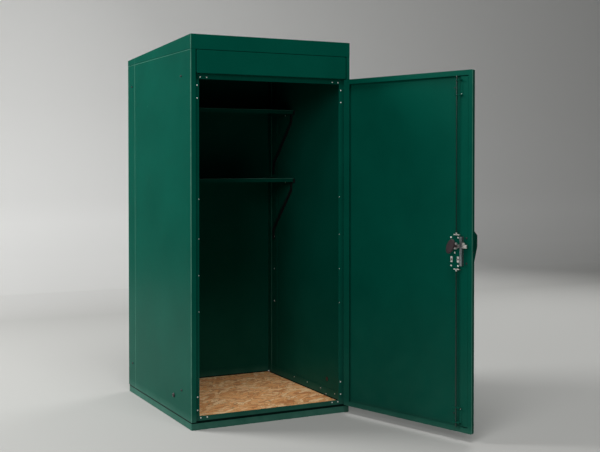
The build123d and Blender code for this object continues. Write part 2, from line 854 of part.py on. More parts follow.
# Rod guides: a plate on the stiffener with two drilled arms
with BuildPart() as rod_guides:
    for level in guide_levels:
        with BuildSketch(Plane.XZ.offset(-door_inner - guide_plate)):
            with Locations((stiffener_right - guide_plate_width / 2, level)):
                Rectangle(guide_plate_width, guide_height)
        extrude(amount=guide_plate)
        for arm_bottom in (level - guide_height / 2, level + guide_height / 2 - guide_arm):
            with BuildSketch(Plane.XY.offset(arm_bottom)):
                arm_left = stiffener_right - guide_heel
                arm_right = rod_x + rod_radius + guide_toe
                with Locations(((arm_left + arm_right) / 2, (door_inner + guide_reach) / 2)):
                    Rectangle(arm_right - arm_left, guide_reach - door_inner)
                with Locations((rod_x, rod_y)):
                    Circle(rod_radius + guide_clearance, mode=Mode.SUBTRACT)
            extrude(amount=guide_arm)
write_open(rod_guides, "rod_guides")

# Side bolt, stepped up outside the channel that it slides through
with BuildPart() as side_bolt:
    with BuildSketch(Plane.XZ.offset(-rod_y - bolt_thickness / 2)):
        with Locations((bolt_tip + bolt_length / 2, lock_height)):
            Rectangle(bolt_length, bolt_height)
        with Locations((bolt_step_right - bolt_step_length / 2, lock_height + bolt_step_height / 2)):
            Rectangle(bolt_step_length, bolt_step_height)
    extrude(amount=bolt_thickness)
write_open(side_bolt, "side_bolt")

with BuildPart() as bolt_channel:
    with BuildSketch(Plane.XY.offset(lock_height - bolt_channel_drop - bolt_channel_length / 2)):
        with Locations((bolt_channel_x, (door_inner + bolt_channel_back) / 2)):
            Rectangle(bolt_channel_width, bolt_channel_back - door_inner)
        with Locations((bolt_channel_x, (door_inner + bolt_channel_back - bolt_channel_wall) / 2)):
            Rectangle(
                bolt_channel_width - 2 * bolt_channel_wall,
                bolt_channel_back - bolt_channel_wall - door_inner,
                mode=Mode.SUBTRACT,
            )
    extrude(amount=bolt_channel_length)
    with BuildSketch(Plane.YZ.offset(bolt_channel_x - bolt_channel_width)):
        with Locations((rod_y, lock_height)):
            Rectangle(bolt_thickness + 2 * bolt_clearance, bolt_height + 2 * bolt_clearance)
    extrude(amount=2 * bolt_channel_width, mode=Mode.SUBTRACT)
write_open(bolt_channel, "bolt_channel")

# Rose and key cylinder on the outside of the door
with BuildPart() as key_cylinder:
    with BuildSketch(Plane.XZ.offset(-front)):
        with Locations((lock_x, lock_height)):
            Circle(rose_radius)
    extrude(amount=rose_thickness)
    with BuildSketch(Plane.XZ.offset(-front + rose_thickness)):
        with Locations((lock_x, lock_height)):
            Circle(cylinder_radius)
    extrude(amount=cylinder_reach - rose_thickness)
write_open(key_cylinder, "key_cylinder")

# Pull handle on the outside of the door: a bracket with a grip held off the door
with BuildPart() as pull_handle:
    with BuildSketch(Plane.YZ.offset(pull_x - pull_width / 2)):
        with BuildLine():
            Polyline(
                (front, pull_top),
                (front - pull_shoulder, pull_top),
                (front - pull_reach, pull_grip_top),
                (front - pull_reach, pull_grip_bottom),
                (front - pull_shoulder, pull_bottom + 0.7 * pull_lower_foot),
                (front - pull_shoulder + pull_bend, pull_bottom),
                (front, pull_bottom),
                close=True,
            )
        make_face()
        fillet(vertices().filter_by(lambda v: v.X < front - 1), pull_bend)
        with BuildLine():
            Polyline(
                (front, pull_top - pull_upper_foot),
                (front - pull_reach + pull_grip, pull_top - pull_upper_foot),
                (front - pull_reach + pull_grip, pull_grip_bottom - pull_gap_drop),
                (front - pull_shoulder + pull_grip, pull_bottom + pull_lower_foot),
                (front, pull_bottom + pull_lower_foot),
                close=True,
            )
        make_face(mode=Mode.SUBTRACT)
    extrude(amount=pull_width)
    pull_sides = edges().group_by(Axis.X)[0] + edges().group_by(Axis.X)[-1]
    fillet(pull_sides.filter_by(lambda e: e.center().Y < front - 1), pull_edge)
write_open(pull_handle, "pull_handle")
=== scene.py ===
import math

import bmesh
import bpy
from mathutils import Matrix, Vector


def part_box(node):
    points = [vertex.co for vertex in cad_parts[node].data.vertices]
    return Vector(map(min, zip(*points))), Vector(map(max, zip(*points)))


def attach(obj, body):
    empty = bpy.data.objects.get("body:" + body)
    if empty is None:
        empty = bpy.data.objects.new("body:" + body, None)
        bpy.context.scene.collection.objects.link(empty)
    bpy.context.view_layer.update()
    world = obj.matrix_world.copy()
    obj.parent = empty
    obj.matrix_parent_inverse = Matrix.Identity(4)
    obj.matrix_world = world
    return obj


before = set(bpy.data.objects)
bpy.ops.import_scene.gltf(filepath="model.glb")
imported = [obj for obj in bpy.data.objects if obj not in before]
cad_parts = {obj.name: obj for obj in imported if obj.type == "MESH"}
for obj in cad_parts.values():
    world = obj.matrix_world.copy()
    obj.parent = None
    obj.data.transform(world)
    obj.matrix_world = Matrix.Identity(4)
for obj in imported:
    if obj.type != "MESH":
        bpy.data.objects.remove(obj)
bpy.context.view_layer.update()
print("stage: frame loaded")


def boxOf(node):
    return [corner * 1000 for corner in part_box(node)]  # low and high corner, in millimetres


# Measures taken from the frame, in millimetres
sheetSteel = 1.2  # thickness
wallLow, wallHigh = boxOf("right_wall")
lowerShelfLow, lowerShelfHigh = boxOf("lower_shelf")
upperShelfLow, upperShelfHigh = boxOf("upper_shelf")
stopFront = boxOf("lintel")[0].y
wallInner = wallHigh.x - sheetSteel
upstandInner = boxOf("right_base_rail")[1].x - sheetSteel

# The door's hinge axis and how far it stands open; its outer face when shut, its width and its depth
door = {
    "hingeX": 477.5,
    "hingeY": -574.5,
    "openDegrees": 106.8,
    "front": -574.0,
    "width": 944.5,
    "depth": 20.0,
}

# Inner flanges of the rear wall, from their front edge to the rear, with a narrow lip turned in
cornerFlange = {"front": 514.0, "rear": 571.0, "lip": 4.0, "bottom": 62.0, "top": 2100.0, "shelfGap": 2.0}


def linear(code):
    parts = [int(code[i:i + 2], 16) / 255 for i in (1, 3, 5)]  # sRGB hex to linear
    return tuple(p / 12.92 if p <= 0.04045 else ((p + 0.055) / 1.055) ** 2.4 for p in parts) + (1.0,)


def setNode(node, settings=None, links=None):
    for key, value in (settings or {}).items():
        if key == "stops":  # of a colour ramp: position and colour
            elements = node.color_ramp.elements
            while len(elements) < len(value):
                elements.new(0.5)
            for element, (position, colour) in zip(elements, value):
                element.position = position
                element.color = linear(colour)
        elif isinstance(key, int) or key[0].isupper():  # sockets have a number or start with a capital
            isColour = isinstance(value, str) and value.startswith("#")
            node.inputs[key].default_value = linear(value) if isColour else value
        else:
            setattr(node, key, value)
    for key, source in (links or {}).items():
        output = source if hasattr(source, "is_output") else source.outputs[0]  # a node gives its first
        node.id_data.links.new(output, node.inputs[key])


def addNode(tree, kind, settings=None, links=None):
    node = tree.nodes.new("ShaderNode" + kind)
    setNode(node, settings, links)
    return node


def newMaterial(name):
    material = bpy.data.materials.new(name)
    material.use_nodes = True
    tree = material.node_tree
    place = tree.nodes.new("ShaderNodeTexCoord").outputs["Object"]
    return material, tree, tree.nodes["Principled BSDF"], place


def perMetre(size):
    return 1000 / size  # scale of a pattern from the real size of its marks in millimetres


def bandMask(tree, value, edge, band):
    # the band's share on a line beside an edge, falling to 0 over its soft width
    away = {"operation": "SUBTRACT", 1: (edge + band["from"]) / 1000}
    away = addNode(tree, "Math", away, {0: value})
    away = addNode(tree, "Math", {"operation": "ABSOLUTE"}, {0: away})
    start, end = band["half"] / 1000, (band["half"] + band["soft"]) / 1000
    fade = {"From Min": start, "From Max": end, "To Min": band["share"], "To Max": 0.0}
    return addNode(tree, "MapRange", fade, {"Value": away})


def greatest(tree, values):
    result = values[0]
    for value in values[1:]:
        result = addNode(tree, "Math", {"operation": "MAXIMUM"}, {0: result, 1: value})
    return result


# Lines of painted highlight along the folds and a line of painted shade under the walls' lower edge, in
# millimetres: from the edge they follow to their middle, half their width, the width over which they fade,
# and how strong they are
bands = {
    "roof": {"from": -1.5, "half": 1.4, "soft": 1.0, "share": 1.0},
    "side": {"from": 1.4, "half": 1.0, "soft": 0.8, "share": 1.0},
    "corner": {"from": 1.6, "half": 1.8, "soft": 0.4, "share": 1.0},
    "shelfTop": {"from": -0.8, "half": 1.6, "soft": 0.6, "share": 1.0},
    "shelfFront": {"from": 1.6, "half": 2.2, "soft": 0.4, "share": 1.0},
    "flangeFront": {"from": 0.0, "half": 1.0, "soft": 0.4, "share": 1.0},
    "flangeLip": {"from": 0.0, "half": 2.0, "soft": 0.2, "share": 0.45},
    # painted shade in the seam under the walls' lower edge
    "paintedShade": {"from": -3.5, "half": 2.8, "soft": 1.4, "share": 1.0},
}
# How deep the painted highlight reaches, in millimetres: the wall's outer skin, its front corner, the door's
# edge
highlightDepth = {"skin": 0.8, "corner": 3.4, "door": 1.3}


def foldHighlights(tree, place, axes):
    # painted highlight: pale lines on the roof seam, the rear side seams, the front corners, the shelf rims,
    # the lip on the door's free edge and the lips of the corner flanges, where the bends would catch the
    # light
    across = addNode(tree, "Math", {"operation": "ABSOLUTE"}, {0: axes["X"]})
    skin = {"operation": "GREATER_THAN", 1: (wallHigh.x - highlightDepth["skin"]) / 1000}
    skin = addNode(tree, "Math", skin, {0: across})
    bend = {"operation": "GREATER_THAN", 1: (wallHigh.x - highlightDepth["corner"]) / 1000}
    bend = addNode(tree, "Math", bend, {0: across})
    roof = bandMask(tree, axes["Z"], wallHigh.z, bands["roof"])
    side = bandMask(tree, axes["Y"], wallHigh.y, bands["side"])
    corner = bandMask(tree, axes["Y"], wallLow.y, bands["corner"])
    rim = bandMask(tree, axes["Y"], upperShelfLow.y, bands["shelfFront"])
    upperTop = bandMask(tree, axes["Z"], upperShelfHigh.z, bands["shelfTop"])
    lowerTop = bandMask(tree, axes["Z"], lowerShelfHigh.z, bands["shelfTop"])
    flange = bandMask(tree, axes["Y"], cornerFlange["front"], bands["flangeFront"])
    lipMiddle = wallInner - (sheetSteel + cornerFlange["lip"]) / 2
    flangeLip = bandMask(tree, across, lipMiddle, bands["flangeLip"])

    # Object coordinates with the door's swing undone, from its hinge axis
    hinge = (door["hingeX"] / 1000, door["hingeY"] / 1000, 0.0)
    swing = (0.0, 0.0, math.radians(door["openDegrees"]))
    shut = {"vector_type": "TEXTURE", "Location": hinge, "Rotation": swing}
    shut = addNode(tree, "Mapping", shut, {"Vector": place})
    shut = addNode(tree, "SeparateXYZ", None, {"Vector": shut}).outputs
    free = {"operation": "LESS_THAN", 1: (highlightDepth["door"] - door["width"]) / 1000}
    free = addNode(tree, "Math", free, {0: shut["X"]})
    innerFace = door["front"] + door["depth"] - door["hingeY"]
    inner = {"operation": "GREATER_THAN", 1: (innerFace - highlightDepth["door"]) / 1000}
    inner = addNode(tree, "Math", inner, {0: shut["Y"]})

    lines = []
    for one, other in (
        (skin, roof),
        (skin, side),
        (bend, corner),
        (rim, upperTop),
        (rim, lowerTop),
        (free, inner),
        (flange, flangeLip),
    ):
        lines.append(addNode(tree, "Math", {"operation": "MULTIPLY"}, {0: one, 1: other}))
    return greatest(tree, lines)


# Powder coat: its two tones, its reflection and its lowest roughness
powderCoat = {"dark": "#004336", "light": "#024B3D", "gloss": 0.02, "roughness": 0.26}
rodCoat = {"dark": "#02261E", "light": "#033027", "gloss": 0.5, "roughness": 0.16}
# Marks in the coat, in millimetres across; the orange peel is coarser than the real one, so that it shows
coatMarks = {"cloud": 455.0, "grime": 111.0, "streak": 6.25, "wave": 333.0, "peel": 1.92}
# What lies on it or has worn it, and the painted highlight and painted shade: colour, share, and heights
# above the ground in metres
soilingAndPaintedLight = {
    "dust": {"colour": "#6E8274", "share": 0.08, "top": 0.8},
    "splash": {"colour": "#5F8A7C", "share": 0.5, "bottom": 0.02, "top": 0.09},
    "rub": {"colour": "#1F5A4A", "start": 0.72, "end": 0.76},
    # painted highlight along the folds
    "paintedHighlight": {"colour": "#6C9A88"},
    # painted shade under the walls' lower edge
    "paintedShade": {"colour": "#03120F"},
}


def makePowderGreen(name, coat):
    # polyester powder coat on folded sheet: a soft sheen with slight waves and orange peel,
    # dust and rubs low down, splashes at the ground, a painted highlight along the folds, painted shade
    # under the walls' lower edge
    material, tree, shader, place = newMaterial(name)
    axes = addNode(tree, "SeparateXYZ", None, {"Vector": place}).outputs
    cloud = {"Scale": perMetre(coatMarks["cloud"]), "Detail": 5.0, "Roughness": 0.6}
    cloud = addNode(tree, "TexNoise", cloud, {"Vector": place})
    tone = {"stops": ((0.32, coat["dark"]), (0.7, coat["light"]))}
    tone = addNode(tree, "ValToRGB", tone, {"Fac": cloud})
    grime = {"Scale": perMetre(coatMarks["grime"]), "Detail": 8.0, "Roughness": 0.68}
    grime = addNode(tree, "TexNoise", grime, {"Vector": place})

    dust, splash, rub = soilingAndPaintedLight["dust"], soilingAndPaintedLight["splash"], soilingAndPaintedLight["rub"]
    low = {"From Max": dust["top"], "To Min": 1.0, "To Max": 0.0}
    low = addNode(tree, "MapRange", low, {"Value": axes["Z"]})
    patch = addNode(tree, "Math", {"operation": "MULTIPLY"}, {0: low, 1: grime})
    masks = {"dust": addNode(tree, "Math", {"operation": "MULTIPLY", 1: dust["share"]}, {0: patch})}
    ground = {"From Min": splash["bottom"], "From Max": splash["top"]}
    ground = {**ground, "To Min": splash["share"], "To Max": 0.0}
    ground = addNode(tree, "MapRange", ground, {"Value": axes["Z"]})
    masks["splash"] = addNode(tree, "Math", {"operation": "MULTIPLY"}, {0: ground, 1: grime})
    long, thin = perMetre(coatMarks["grime"]), perMetre(coatMarks["streak"])
    streak = {"Rotation": (0.3, 0.5, 0.2), "Scale": (long, long, thin)}
    streak = addNode(tree, "Mapping", streak, {"Vector": place})
    streak = addNode(tree, "TexNoise", {"Scale": 1.0, "Detail": 3.0}, {"Vector": streak})
    clear = {"stops": ((rub["start"], "#000000"), (rub["end"], "#FFFFFF"))}
    streak = addNode(tree, "ValToRGB", clear, {"Fac": streak})
    masks["rub"] = addNode(tree, "Math", {"operation": "MULTIPLY"}, {0: streak, 1: patch})
    fold = foldHighlights(tree, place, axes)
    # painted highlight along the folds, broken up by the grime noise
    masks["paintedHighlight"] = addNode(tree, "Math", {"operation": "MULTIPLY"}, {0: fold, 1: grime})
    # painted shade in the seam under the walls' lower edge
    masks["paintedShade"] = bandMask(tree, axes["Z"], wallLow.z, bands["paintedShade"])

    colour = tone
    for layerKind, mask in masks.items():
        layer = {"data_type": "RGBA", 7: soilingAndPaintedLight[layerKind]["colour"]}
        colour = addNode(tree, "Mix", layer, {0: mask, 6: colour}).outputs[2]

    rough = {"To Min": coat["roughness"], "To Max": coat["roughness"] + 0.14}
    rough = addNode(tree, "MapRange", rough, {"Value": grime})
    wave = {"Scale": perMetre(coatMarks["wave"]), "Detail": 1.0}
    wave = addNode(tree, "TexNoise", wave, {"Vector": place})
    wave = addNode(tree, "Bump", {"Strength": 0.35, "Distance": 0.0025}, {"Height": wave})
    peel = {"Scale": perMetre(coatMarks["peel"]), "Detail": 2.0}
    peel = addNode(tree, "TexNoise", peel, {"Vector": place})
    peel = addNode(tree, "Bump", {"Strength": 0.12, "Distance": 0.0004}, {"Height": peel, "Normal": wave})
    links = {"Base Color": colour, "Roughness": rough, "Normal": peel}
    setNode(shader, {"Specular IOR Level": coat["gloss"]}, links)
    return material


def makeZincPlate(name, dark, light):
    # zinc plate on pressed and turned steel: bright, with a fine spangle and dull handled patches
    material, tree, shader, place = newMaterial(name)
    spangle = addNode(tree, "TexVoronoi", {"Scale": perMetre(3.85)}, {"Vector": place})
    tone = {"stops": ((0.2, dark), (0.8, light))}
    tone = addNode(tree, "ValToRGB", tone, {"Fac": spangle.outputs["Color"]})
    handled = addNode(tree, "TexNoise", {"Scale": perMetre(16.7), "Detail": 6.0}, {"Vector": place})
    rough = addNode(tree, "MapRange", {"To Min": 0.2, "To Max": 0.38}, {"Value": handled})
    bump = addNode(tree, "Bump", {"Strength": 0.08, "Distance": 0.0004}, {"Height": handled})
    setNode(shader, {"Metallic": 0.85}, {"Base Color": tone, "Roughness": rough, "Normal": bump})
    return material


def makeRivetAlloy():
    # drawn aluminium rivets and plated screws: pale and dull, bright even in the shade
    material, tree, shader, place = newMaterial("rivetAlloy")
    dent = addNode(tree, "TexNoise", {"Scale": perMetre(2.5), "Detail": 4.0}, {"Vector": place})
    tone = addNode(tree, "ValToRGB", {"stops": ((0.3, "#E4E2DC"), (0.7, "#F8F6F0"))}, {"Fac": dent})
    bump = addNode(tree, "Bump", {"Strength": 0.1, "Distance": 0.0002}, {"Height": dent})
    setNode(shader, {"Metallic": 0.4, "Roughness": 0.45}, {"Base Color": tone, "Normal": bump})
    return material


def makeBlackSteel():
    # thin black paint on steel bar: matt, with a few spots rubbed grey
    material, tree, shader, place = newMaterial("blackSteel")
    blot = {"Scale": perMetre(38.5), "Detail": 8.0, "Roughness": 0.7}
    blot = addNode(tree, "TexNoise", blot, {"Vector": place})
    tone = {"stops": ((0.35, "#0D0C0E"), (0.72, "#1C1A1D"), (0.8, "#3A3736"))}
    tone = addNode(tree, "ValToRGB", tone, {"Fac": blot})
    rough = addNode(tree, "MapRange", {"To Min": 0.45, "To Max": 0.62}, {"Value": blot})
    bump = addNode(tree, "Bump", {"Strength": 0.1, "Distance": 0.0003}, {"Height": blot})
    setNode(shader, None, {"Base Color": tone, "Roughness": rough, "Normal": bump})
    return material


def makeNickelTrim():
    # satin nickel on turned brass: bright, with soft wipe marks
    material, tree, shader, place = newMaterial("nickelTrim")
    smear = addNode(tree, "TexNoise", {"Scale": perMetre(11.1), "Detail": 5.0}, {"Vector": place})
    tone = addNode(tree, "ValToRGB", {"stops": ((0.3, "#D0CFCB"), (0.75, "#E6E5E1"))}, {"Fac": smear})
    rough = addNode(tree, "MapRange", {"To Min": 0.24, "To Max": 0.4}, {"Value": smear})
    bump = addNode(tree, "Bump", {"Strength": 0.05, "Distance": 0.0003}, {"Height": smear})
    setNode(shader, {"Metallic": 1.0}, {"Base Color": tone, "Roughness": rough, "Normal": bump})
    return material


def makeMouldedPlastic(name, dark, light, roughness):
    # moulded plastic with a spark-eroded grain: an even dull surface
    material, tree, shader, place = newMaterial(name)
    cloud = addNode(tree, "TexNoise", {"Scale": perMetre(25), "Detail": 4.0}, {"Vector": place})
    tone = addNode(tree, "ValToRGB", {"stops": ((0.3, dark), (0.75, light))}, {"Fac": cloud})
    rough = {"To Min": roughness - 0.06, "To Max": roughness + 0.08}
    rough = addNode(tree, "MapRange", rough, {"Value": cloud})
    # the grain is drawn about 0.7 mm wide, coarser than the real one
    grain = addNode(tree, "TexNoise", {"Scale": perMetre(0.714), "Detail": 2.0}, {"Vector": place})
    bump = addNode(tree, "Bump", {"Strength": 0.15, "Distance": 0.0003}, {"Height": grain})
    setNode(shader, None, {"Base Color": tone, "Roughness": rough, "Normal": bump})
    return material


# Layers of strands: angle, length and width in millimetres, and the share of the strands left out;
# a strand and a fibre also have a depth, so that the pattern holds through the board
board = {
    "layers": (
        (12, 85, 24, 0.0),
        (-52, 90, 21, 0.45),
        (67, 80, 20, 0.55),
        (-18, 100, 23, 0.6),
        (34, 85, 18, 0.68),
    ),
    "depth": 300.0,
    "fibre": (50.0, 2.2, 100.0),
    "fibreShare": 0.35,
    "core": "#DB965A",
    "tones": ((0.1, "#C27A46"), (0.4, "#EAA364"), (0.7, "#F5B87A"), (1.0, "#FBD2A0")),
    "gaps": ((0.0, "#BCB5AE"), (0.05, "#FFFFFF")),
    "spread": 0.85,
}


def makeStrandBoard():
    # oriented strand board: pale to brown wood strands pressed flat at many angles, with fine fibres
    material, tree, shader, place = newMaterial("strandBoard")
    under = {}
    heights = []
    for angle, length, width, leftOut in board["layers"]:
        turned = {"vector_type": "TEXTURE", "Rotation": (0.0, 0.0, math.radians(angle))}
        strand = {**turned, "Scale": [size / 1000 for size in (length, width, board["depth"])]}
        strand = addNode(tree, "Mapping", strand, {"Vector": place})
        cell = {"Scale": 1.0, "Randomness": board["spread"]}
        edge = addNode(tree, "TexVoronoi", {"feature": "DISTANCE_TO_EDGE", **cell}, {"Vector": strand})
        cell = addNode(tree, "TexVoronoi", cell, {"Vector": strand})
        chance = addNode(tree, "SeparateColor", None, {"Color": cell.outputs["Color"]}).outputs
        fibre = {**turned, "Scale": [size / 1000 for size in board["fibre"]]}
        fibre = addNode(tree, "Mapping", fibre, {"Vector": place})
        fibre = addNode(tree, "TexNoise", {"Scale": 1.0, "Detail": 3.0}, {"Vector": fibre})
        blend = {"operation": "MULTIPLY_ADD", 1: board["fibreShare"]}
        blend = addNode(tree, "Math", blend, {0: fibre, 2: chance["Red"]})
        tone = addNode(tree, "ValToRGB", {"stops": board["tones"]}, {"Fac": blend})
        gap = addNode(tree, "ValToRGB", {"stops": board["gaps"]}, {"Fac": edge})
        shaded = {"data_type": "RGBA", "blend_type": "MULTIPLY", 0: 1.0}
        shaded = addNode(tree, "Mix", shaded, {6: tone, 7: gap}).outputs[2]
        laid = addNode(tree, "Math", {"operation": "GREATER_THAN", 1: leftOut}, {0: chance["Green"]})
        layer = {"data_type": "RGBA", 6: board["core"]}  # the core shows where no strand lies over it
        colour = addNode(tree, "Mix", layer, {0: laid, 7: shaded, **under}).outputs[2]
        under = {6: colour}
        heights.append(addNode(tree, "Math", {"operation": "MULTIPLY"}, {0: chance["Blue"], 1: laid}))
    bump = addNode(tree, "Bump", {"Strength": 0.35, "Distance": 0.0008}, {"Height": greatest(tree, heights)})
    setNode(shader, {"Roughness": 0.72}, {"Base Color": colour, "Normal": bump})
    return material


def makeBearerWood():
    # sawn softwood: long grain along X, rough to the touch
    material, tree, shader, place = newMaterial("bearerWood")
    grain = {"Scale": (perMetre(333), perMetre(16.7), perMetre(16.7))}
    grain = addNode(tree, "Mapping", grain, {"Vector": place})
    rings = {"Scale": 1.0, "Detail": 7.0, "Distortion": 0.6}
    rings = addNode(tree, "TexNoise", rings, {"Vector": grain})
    tone = addNode(tree, "ValToRGB", {"stops": ((0.3, "#8C6A44"), (0.7, "#C09A68"))}, {"Fac": rings})
    bump = addNode(tree, "Bump", {"Strength": 0.3, "Distance": 0.0006}, {"Height": rings})
    setNode(shader, {"Roughness": 0.8}, {"Base Color": tone, "Normal": bump})
    return material


powderGreen = makePowderGreen("powderGreen", powderCoat)
rodGreen = makePowderGreen("rodGreen", rodCoat)
zincPlate = makeZincPlate("zincPlate", "#DAD8D2", "#F0EEE8")
# painted shade: a darker copy of the zinc plate for the bolt channel, which stands in shade beside the
# door's edge
shadedZinc = makeZincPlate("shadedZinc", "#858C8F", "#9BA2A4")
rivetAlloy = makeRivetAlloy()
blackSteel = makeBlackSteel()
nickelTrim = makeNickelTrim()
maroonPlastic = makeMouldedPlastic("maroonPlastic", "#1E0F13", "#2E1A20", 0.42)
blackPlastic = makeMouldedPlastic("blackPlastic", "#0A0A0B", "#121213", 0.6)
strandBoard = makeStrandBoard()
bearerWood = makeBearerWood()
print("stage: materials")

# Every other node of the frame has the green powder coat
finishes = {
    "floor_board": strandBoard,
    "floor_bearers": bearerWood,
    "shelf_struts": blackSteel,
    "upper_rod": rodGreen,
    "lower_rod": rodGreen,
    "upper_rod_foot": zincPlate,
    "lower_rod_foot": zincPlate,
    "lock_lugs": zincPlate,
    "side_bolt": zincPlate,
    "bolt_channel": shadedZinc,
    "lock_collar": nickelTrim,
    "key_cylinder": nickelTrim,
    "lock_knob": maroonPlastic,
    "cable_plugs": maroonPlastic,
}
for name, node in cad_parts.items():
    node.data.materials.clear()
    node.data.materials.append(finishes.get(name, powderGreen))

# Outlines of a head, as shares of its radius and height: a blind rivet and a screw with a recess
rivetOutline = ((1.0, 0.0), (1.0, 0.25), (0.82, 0.75), (0.5, 1.0), (0.3, 1.0), (0.26, 0.6), (0.0, 0.55))
screwOutline = ((1.0, 0.0), (1.0, 0.2), (0.85, 0.68), (0.55, 0.95), (0.28, 1.0), (0.24, 0.45), (0.0, 0.4))
headSteps = 20  # round the head


def spinHead(outline, radius, height):
    mesh = bmesh.new()
    ring = [mesh.verts.new((out * radius / 1000, 0.0, up * height / 1000)) for out, up in outline]
    edges = [mesh.edges.new(pair) for pair in zip(ring, ring[1:])]
    turn = {"cent": (0, 0, 0), "axis": (0, 0, 1), "angle": 2 * math.pi, "steps": headSteps}
    bmesh.ops.spin(mesh, geom=ring + edges, use_merge=True, **turn)
    bmesh.ops.remove_doubles(mesh, verts=mesh.verts, dist=1e-6)
    bmesh.ops.recalc_face_normals(mesh, faces=mesh.faces)
    single = bpy.data.meshes.new("head")
    mesh.to_mesh(single)
    mesh.free()
    return single


def addPiece(name, mesh, material, smooth):
    data = bpy.data.meshes.new(name)
    mesh.to_mesh(data)
    mesh.free()
    for face in data.polygons:
        face.use_smooth = smooth
    data.materials.append(material)
    piece = bpy.data.objects.new(name, data)
    bpy.context.scene.collection.objects.link(piece)
    return piece


def placeHeads(name, outline, heads, spots, material, body):
    # one piece with a head at each spot, which is a point in millimetres and the way the head faces
    single = spinHead(outline, heads["radius"], heads["height"])
    whole = bmesh.new()
    for point, direction in spots:
        before = set(whole.verts)
        whole.from_mesh(single)
        fresh = [vert for vert in whole.verts if vert not in before]
        turn = Vector((0, 0, 1)).rotation_difference(Vector(direction)).to_matrix().to_4x4()
        bmesh.ops.transform(whole, matrix=Matrix.Translation(Vector(point) / 1000) @ turn, verts=fresh)
    bpy.data.meshes.remove(single)
    piece = addPiece(name, whole, material, True)
    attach(piece, body)


def onFrame(places):
    return [((side * x, stopFront, z), (0, -1, 0)) for side in (-1, 1) for x, z in places]


def onWalls(x, facing, places):
    # facing is 1 for outward and -1 for inward
    return [((side * x, y, z), (side * facing, 0, 0)) for side in (-1, 1) for y, z in places]


def doorTurn(x, y):
    angle = math.radians(door["openDegrees"])
    return x * math.cos(angle) - y * math.sin(angle), x * math.sin(angle) + y * math.cos(angle)


def onDoor(behind, facing, places):
    # behind is measured from the door's outer face; a place is from the hinge axis and up
    spots = []
    for fromHinge, level in places:
        x, y = doorTurn(-fromHinge, behind + door["front"] - door["hingeY"])
        spots.append(((door["hingeX"] + x, door["hingeY"] + y, level), (*doorTurn(*facing), 0.0)))
    return spots


# rivets through the posts, the sill and the lintel into the gussets, on x and z
frameRivets = {
    "radius": 4.2,
    "height": 1.6,
    "posts": ((455.5, 105.0), (455.5, 179.0), (455.5, 1847.0), (455.5, 1918.0)),
    "rails": ((437.0, 61.0), (437.0, 1964.0), (398.0, 61.0), (398.0, 1964.0)),
}
spots = onFrame(frameRivets["posts"] + frameRivets["rails"])
placeHeads("frameRivets", rivetOutline, frameRivets, spots, rivetAlloy, "shed")

# small rivets down the inner edges of the posts
stopRivets = {"radius": 2.3, "height": 0.9, "x": 446.5, "levels": (655.0, 858.0, 1063.0, 1286.0)}
spots = onFrame([(stopRivets["x"], level) for level in stopRivets["levels"]])
placeHeads("stopRivets", rivetOutline, stopRivets, spots, rivetAlloy, "shed")

# plastic caps on the outside of the side walls, on y and z, and domed faces on the cable plugs
wallCaps = {
    "radius": 6.0,
    "height": 6.5,
    "places": ((-424.0, 198.0), (484.0, 197.0), (484.0, 1976.0), (-424.0, 1976.0)),
}
spots = onWalls(wallHigh.x, 1, wallCaps["places"])
placeHeads("wallCaps", screwOutline, wallCaps, spots, maroonPlastic, "shed")
plugDomes = {"radius": 12.4, "height": 5.0}
plugLow, plugHigh = boxOf("cable_plugs")
plugMiddle = (plugLow + plugHigh) / 2
spots = onWalls(plugHigh.x, 1, [(plugMiddle.y, plugMiddle.z)])
placeHeads("plugDomes", screwOutline, plugDomes, spots, maroonPlastic, "shed")

# rivets on the inside of the side walls, on y and z
insideRivets = {
    "radius": 4.8,
    "height": 1.6,
    "places": ((476.0, 986.0), (476.0, 764.0), (476.0, 542.0), (302.0, 1806.0), (302.0, 1357.0)),
}
spots = onWalls(wallInner, -1, insideRivets["places"])
placeHeads("insideRivets", rivetOutline, insideRivets, spots, rivetAlloy, "shed")
seamRivets = {"radius": 2.4, "height": 0.9, "places": ((523.0, 1094.0), (523.0, 649.0), (523.0, 1318.0))}
spots = onWalls(wallInner, -1, seamRivets["places"])
placeHeads("seamRivets", rivetOutline, seamRivets, spots, rivetAlloy, "shed")


def extrudeLine(mesh, line, step):
    row = [mesh.verts.new(point) for point in line]
    edges = [mesh.edges.new(pair) for pair in zip(row, row[1:])]
    result = bmesh.ops.extrude_edge_only(mesh, edges=edges)
    moved = [item for item in result["geom"] if isinstance(item, bmesh.types.BMVert)]
    bmesh.ops.translate(mesh, verts=moved, vec=step)


def makeCornerFlanges():
    # three lengths in each rear corner, clear of the two shelves
    gap = cornerFlange["shelfGap"]
    spans = (
        (cornerFlange["bottom"], lowerShelfLow.z),
        (lowerShelfHigh.z + gap, upperShelfLow.z),
        (upperShelfHigh.z + gap, cornerFlange["top"]),
    )
    face = wallInner - sheetSteel / 2
    line = (
        (face, cornerFlange["rear"]),
        (face, cornerFlange["front"]),
        (face - cornerFlange["lip"], cornerFlange["front"]),
    )
    mesh = bmesh.new()
    for side in (-1, 1):
        for bottom, top in spans:
            points = [(side * x / 1000, y / 1000, bottom / 1000) for x, y in line]
            extrudeLine(mesh, points, (0.0, 0.0, (top - bottom) / 1000))
    bmesh.ops.recalc_face_normals(mesh, faces=mesh.faces)
    bmesh.ops.solidify(mesh, geom=mesh.faces[:], thickness=sheetSteel / 1000)
    bmesh.ops.recalc_face_normals(mesh, faces=mesh.faces)
    piece = addPiece("cornerFlanges", mesh, powderGreen, False)
    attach(piece, "shed")


makeCornerFlanges()

# screws through the upstands of the base, on y and z
upstandScrews = {
    "radius": 3.4,
    "height": 1.6,
    "places": ((160.0, 76.0), (-26.0, 76.0), (-212.0, 74.0), (-398.0, 73.0), (-285.0, 51.0)),
}
spots = onWalls(upstandInner, -1, upstandScrews["places"])
placeHeads("upstandScrews", screwOutline, upstandScrews, spots, rivetAlloy, "shed")
